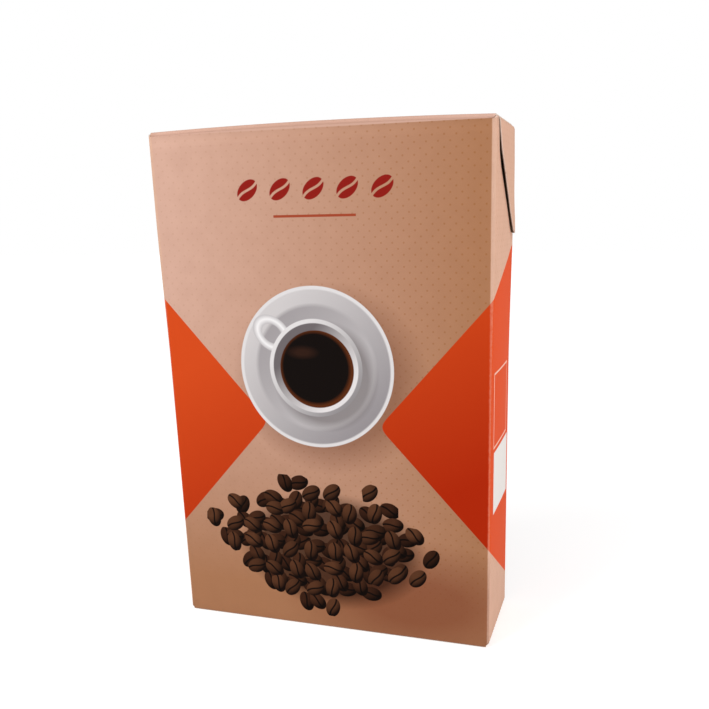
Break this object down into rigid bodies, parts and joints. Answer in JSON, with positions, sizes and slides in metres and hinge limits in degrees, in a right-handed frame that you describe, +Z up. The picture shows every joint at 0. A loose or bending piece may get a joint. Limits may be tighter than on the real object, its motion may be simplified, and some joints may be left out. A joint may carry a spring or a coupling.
{
  "type": "flip-top carton of cone paper coffee filters",
  "caption": "Upright folding carton with a flip-top lid hinged across its back, holding a pack of flat cone paper coffee filters on edge.",
  "frame": {"origin": "middle of the carton's underside, on the surface it stands on", "axes": "+X to the right along the width as seen from the front, +Y from the front panel to the back panel, +Z up along the height"},
  "size_m": [0.1314, 0.041, 0.196],
  "materials": {
    "kraft_board": "satin",
    "kraft_lid_board": "satin",
    "filter_paper": "matte"
  },
  "bodies": {
    "carton": {"carton_body": "kraft_board", "filter_stack": "filter_paper", "filter_1": "filter_paper", "filter_2": "filter_paper", "filter_3": "filter_paper", "filter_4": "filter_paper", "filter_5": "filter_paper", "filter_6": "filter_paper"},
    "lid": {"lid": "kraft_lid_board"}
  },
  "joints": [
    {"name": "lid_hinge", "type": "hinge", "parent": "carton", "child": "lid", "pos_m": [0, 0.0205, 0.1563], "axis": [-1, 0, 0], "range_deg": [0, 170]}
  ]
}
